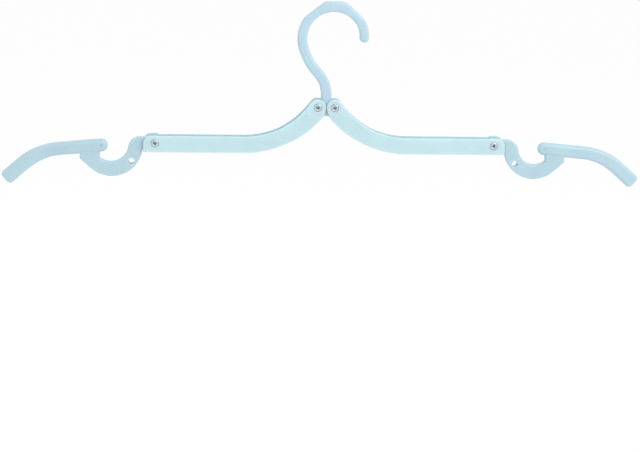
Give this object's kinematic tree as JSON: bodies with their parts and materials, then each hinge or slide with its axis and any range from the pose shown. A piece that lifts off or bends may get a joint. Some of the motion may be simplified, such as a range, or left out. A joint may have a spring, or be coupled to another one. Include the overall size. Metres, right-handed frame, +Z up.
{
  "type": "folding travel hanger",
  "caption": "Folding plastic clothes hanger: an open hook on a base, channel-shaped inner arms riveted to it, and clip-ended outer arms that fold into the channels.",
  "frame": {"origin": "rail seat inside the top of the hook, straight above the middle of the two centre rivets, halfway through the hanger's thickness", "axes": "+X to the right along the opened arms, on the side where the hook opens, -Y the front, where the rolled ends of the rivets show, +Z up"},
  "size_m": [0.4178, 0.0117, 0.1195],
  "materials": {
    "inner_arm_plastic": "injection-moulded polypropylene, pale sky blue, soft gloss",
    "hook_plastic": "injection-moulded polypropylene, pale grey blue, soft gloss",
    "outer_arm_plastic": "injection-moulded polypropylene, pale grey blue, soft gloss",
    "rivet_steel": "nickel-plated steel, smooth"
  },
  "bodies": {
    "hook": {"hook": "hook_plastic"},
    "left_arm": {"left_inner_arm": "inner_arm_plastic", "left_centre_rivet": "rivet_steel", "left_outer_rivet": "rivet_steel"},
    "left_tip": {"left_outer_arm": "outer_arm_plastic"},
    "right_arm": {"right_inner_arm": "inner_arm_plastic", "right_centre_rivet": "rivet_steel", "right_outer_rivet": "rivet_steel"},
    "right_tip": {"right_outer_arm": "outer_arm_plastic"}
  },
  "joints": [
    {"name": "left_arm_fold", "type": "hinge", "parent": "hook", "child": "left_arm", "pos_m": [-0.0055, 0, -0.06093], "axis": [0, 1, 0], "range_deg": [0, 95]},
    {"name": "left_tip_fold", "type": "hinge", "parent": "left_arm", "child": "left_tip", "pos_m": [-0.11045, 0, -0.085], "axis": [0, 1, 0], "range_deg": [0, 183]},
    {"name": "right_arm_fold", "type": "hinge", "parent": "hook", "child": "right_arm", "pos_m": [0.0055, 0, -0.06093], "axis": [0, -1, 0], "range_deg": [0, 85]},
    {"name": "right_tip_fold", "type": "hinge", "parent": "right_arm", "child": "right_tip", "pos_m": [0.11045, 0, -0.085], "axis": [0, -1, 0], "range_deg": [0, 183]}
  ]
}
